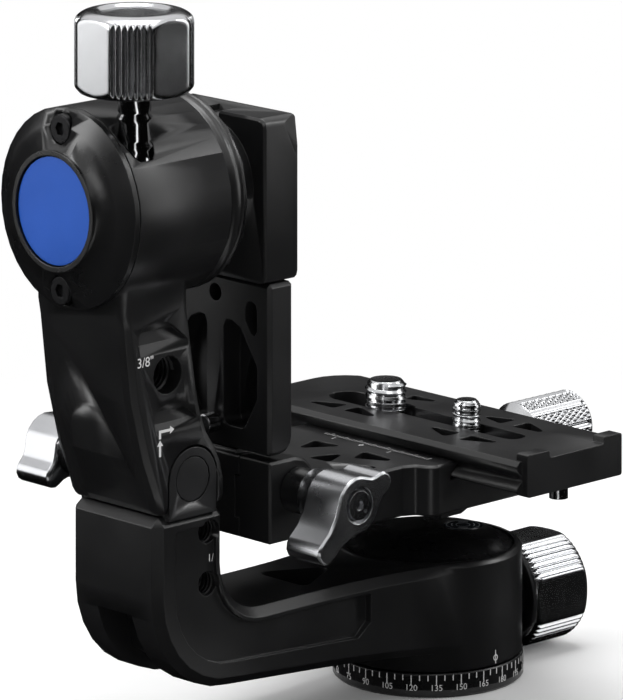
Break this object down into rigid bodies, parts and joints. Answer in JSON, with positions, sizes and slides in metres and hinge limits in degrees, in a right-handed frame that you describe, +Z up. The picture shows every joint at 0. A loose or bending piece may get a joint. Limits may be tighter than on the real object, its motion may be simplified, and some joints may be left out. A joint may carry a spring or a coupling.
{
  "type": "gimbal tripod head",
  "caption": "Folding gimbal tripod head with an L-shaped arm, a panning base, a tilting cradle, fluted locking knobs and a sliding lens plate.",
  "frame": {"origin": "centre of the base's underside, on the panning axis, where the tripod's stud enters", "axes": "+Z up along the panning axis; +X along the tilting axis, from the upright arm towards the lens plate and the panning knob; +Y along the lens plate, towards its rounded end"},
  "size_m": [0.1827, 0.1015, 0.1858],
  "materials": {
    "black_anodised": "fine matt anodising",
    "black_satin": "satin anodising",
    "silver_anodised": "bright turned anodising",
    "black_steel": "blackened",
    "steel": "turned",
    "brass": "turned",
    "liner": "plain",
    "blue_disc": "turned and coated",
    "vial": "clear"
  },
  "bodies": {
    "base": {"base_ring": "black_anodised", "thread_bush": "brass", "pan_spindle": "steel"},
    "pan_arm": {"lower_arm": "black_anodised", "pan_cap": "black_satin", "level_vial": "vial", "pan_bearing": "liner", "pan_thrust": "steel", "fold_bolt": "black_satin"},
    "pan_shoe": {"pan_brake_shoe": "brass"},
    "pan_lock": {"pan_knob": "silver_anodised", "pan_knob_stem": "black_satin"},
    "fold_lock": {"fold_lever": "silver_anodised", "fold_lever_cap": "steel", "fold_lever_collar": "black_satin"},
    "fold_slider": {"fold_block": "steel"},
    "upright": {"upper_arm": "black_anodised", "tilt_bearing": "liner", "tilt_seal": "black_satin", "tilt_cap": "black_anodised", "cap_disc": "blue_disc", "cap_screw_1": "black_steel", "cap_screw_2": "black_steel"},
    "cotter": {"tilt_cotter": "brass"},
    "tilt_lock": {"tilt_knob": "silver_anodised", "tilt_knob_stem": "steel"},
    "cradle": {"swing_head": "black_anodised", "tilt_spindle": "steel", "vertical_rail": "black_anodised", "rail_stop_screw": "steel", "clamp_body": "black_anodised"},
    "jaw": {"clamp_jaw": "black_anodised"},
    "clamp_lock": {"clamp_lever": "silver_anodised", "clamp_lever_cap": "steel", "clamp_lever_collar": "black_satin", "clamp_stud": "steel"},
    "bed": {"platform": "black_anodised"},
    "dovetail_jaw": {"lens_jaw": "black_anodised"},
    "dovetail_lock": {"lens_knob": "silver_anodised", "lens_knob_stem": "steel"},
    "plate": {"lens_plate": "black_anodised", "stop_pin_near": "steel", "stop_pin_far": "steel"},
    "large_slider": {"screw_washer_large": "steel"},
    "large_screw": {"camera_screw_large": "silver_anodised"},
    "small_slider": {"screw_washer_small": "steel"},
    "small_screw": {"camera_screw_small": "silver_anodised"}
  },
  "joints": [
    {"name": "pan", "type": "hinge", "parent": "base", "child": "pan_arm", "pos_m": [0, 0, 0], "axis": [0, 0, 1], "continuous": true},
    {"name": "pan_shoe_slide", "type": "slide", "parent": "pan_arm", "child": "pan_shoe", "axis": [1, 0, 0], "range_m": [-0.00017, 0.001]},
    {"name": "pan_lock_turn", "type": "hinge", "parent": "pan_shoe", "child": "pan_lock", "pos_m": [0, 0, 0.015], "axis": [1, 0, 0], "range_deg": [-60, 360]},
    {"name": "fold_lock_turn", "type": "hinge", "parent": "pan_arm", "child": "fold_lock", "pos_m": [-0.097, 0, 0.0691], "axis": [0, 1, 0], "range_deg": [-90, 180]},
    {"name": "fold", "type": "hinge", "parent": "pan_arm", "child": "fold_slider", "pos_m": [-0.097, 0, 0.0691], "axis": [0, 1, 0], "range_deg": [0, 5]},
    {"name": "fold_lift", "type": "slide", "parent": "fold_slider", "child": "upright", "axis": [0, 0, 1], "range_m": [0, 0.0031]},
    {"name": "cotter_slide", "type": "slide", "parent": "upright", "child": "cotter", "axis": [0, 0, 1], "range_m": [-0.00017, 0.001]},
    {"name": "tilt_lock_turn", "type": "hinge", "parent": "cotter", "child": "tilt_lock", "pos_m": [-0.1164, -0.0161, 0.1658], "axis": [0, 0, 1], "range_deg": [-60, 360]},
    {"name": "tilt", "type": "hinge", "parent": "upright", "child": "cradle", "pos_m": [0, 0, 0.1364], "axis": [1, 0, 0], "continuous": true},
    {"name": "jaw_slide", "type": "slide", "parent": "cradle", "child": "jaw", "axis": [0, -1, 0], "range_m": [-0.00012, 0.001]},
    {"name": "clamp_lock_turn", "type": "hinge", "parent": "jaw", "child": "clamp_lock", "pos_m": [-0.0656, 0, 0.0618], "axis": [0, -1, 0], "range_deg": [-45, 360]},
    {"name": "platform_slide", "type": "slide", "parent": "cradle", "child": "bed", "axis": [1, 0, 0], "range_m": [-0.006, 0.006]},
    {"name": "dovetail_jaw_slide", "type": "slide", "parent": "bed", "child": "dovetail_jaw", "axis": [1, 0, 0], "range_m": [-0.00012, 0.0015]},
    {"name": "dovetail_lock_turn", "type": "hinge", "parent": "dovetail_jaw", "child": "dovetail_lock", "pos_m": [0.03, 0, 0.055], "axis": [1, 0, 0], "range_deg": [-30, 360]},
    {"name": "plate_slide", "type": "slide", "parent": "bed", "child": "plate", "axis": [0, 1, 0], "range_m": [-0.016, 0.016]},
    {"name": "large_screw_slide", "type": "slide", "parent": "plate", "child": "large_slider", "axis": [0, 1, 0], "range_m": [-0.0035, 0.0135]},
    {"name": "large_screw_turn", "type": "hinge", "parent": "large_slider", "child": "large_screw", "pos_m": [0, 0.0154, 0.0656], "axis": [0, 0, 1], "continuous": true},
    {"name": "small_screw_slide", "type": "slide", "parent": "plate", "child": "small_slider", "axis": [0, 1, 0], "range_m": [-0.0142, 0.011]},
    {"name": "small_screw_turn", "type": "hinge", "parent": "small_slider", "child": "small_screw", "pos_m": [0, -0.0139, 0.0656], "axis": [0, 0, 1], "continuous": true}
  ],
  "couplings": [
    {"joint": "pan_lock_turn", "follows": "pan_shoe_slide", "rad_per_m": 6283.2},
    {"joint": "fold_lift", "follows": "fold", "m_per_rad": 0.034377},
    {"joint": "tilt_lock_turn", "follows": "cotter_slide", "rad_per_m": 6283.2},
    {"joint": "clamp_lock_turn", "follows": "jaw_slide", "rad_per_m": 6283.2},
    {"joint": "dovetail_lock_turn", "follows": "dovetail_jaw_slide", "rad_per_m": 4188.8}
  ]
}
